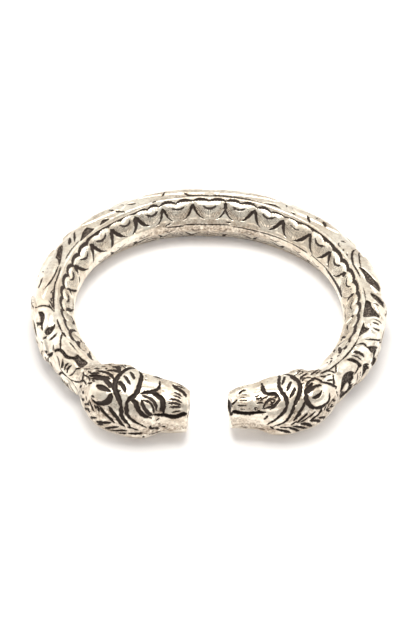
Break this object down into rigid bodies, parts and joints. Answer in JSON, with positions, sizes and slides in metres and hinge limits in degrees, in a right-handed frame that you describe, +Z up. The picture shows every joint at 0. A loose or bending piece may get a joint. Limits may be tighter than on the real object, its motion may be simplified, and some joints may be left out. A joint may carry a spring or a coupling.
{
  "type": "open cuff bangle",
  "caption": "Open cuff bangle: a rigid oval-section ring with raised leaf and petal ornament, its two ends shaped as facing animal heads.",
  "frame": {"origin": "on the surface it lies on, at the centre of the ring's circle, so on the axis of the wrist opening", "axes": "+X from the left head towards the right head, +Y from the gap towards the back of the ring, +Z up, along the axis of the wrist opening"},
  "size_m": [0.0766, 0.0718, 0.0128],
  "materials": {
    "silver": "cast silver-toned metal, polished on the high places, with a near black patina left in the recesses"
  },
  "bodies": {
    "root": {"bangle": "silver"}
  },
  "joints": []
}
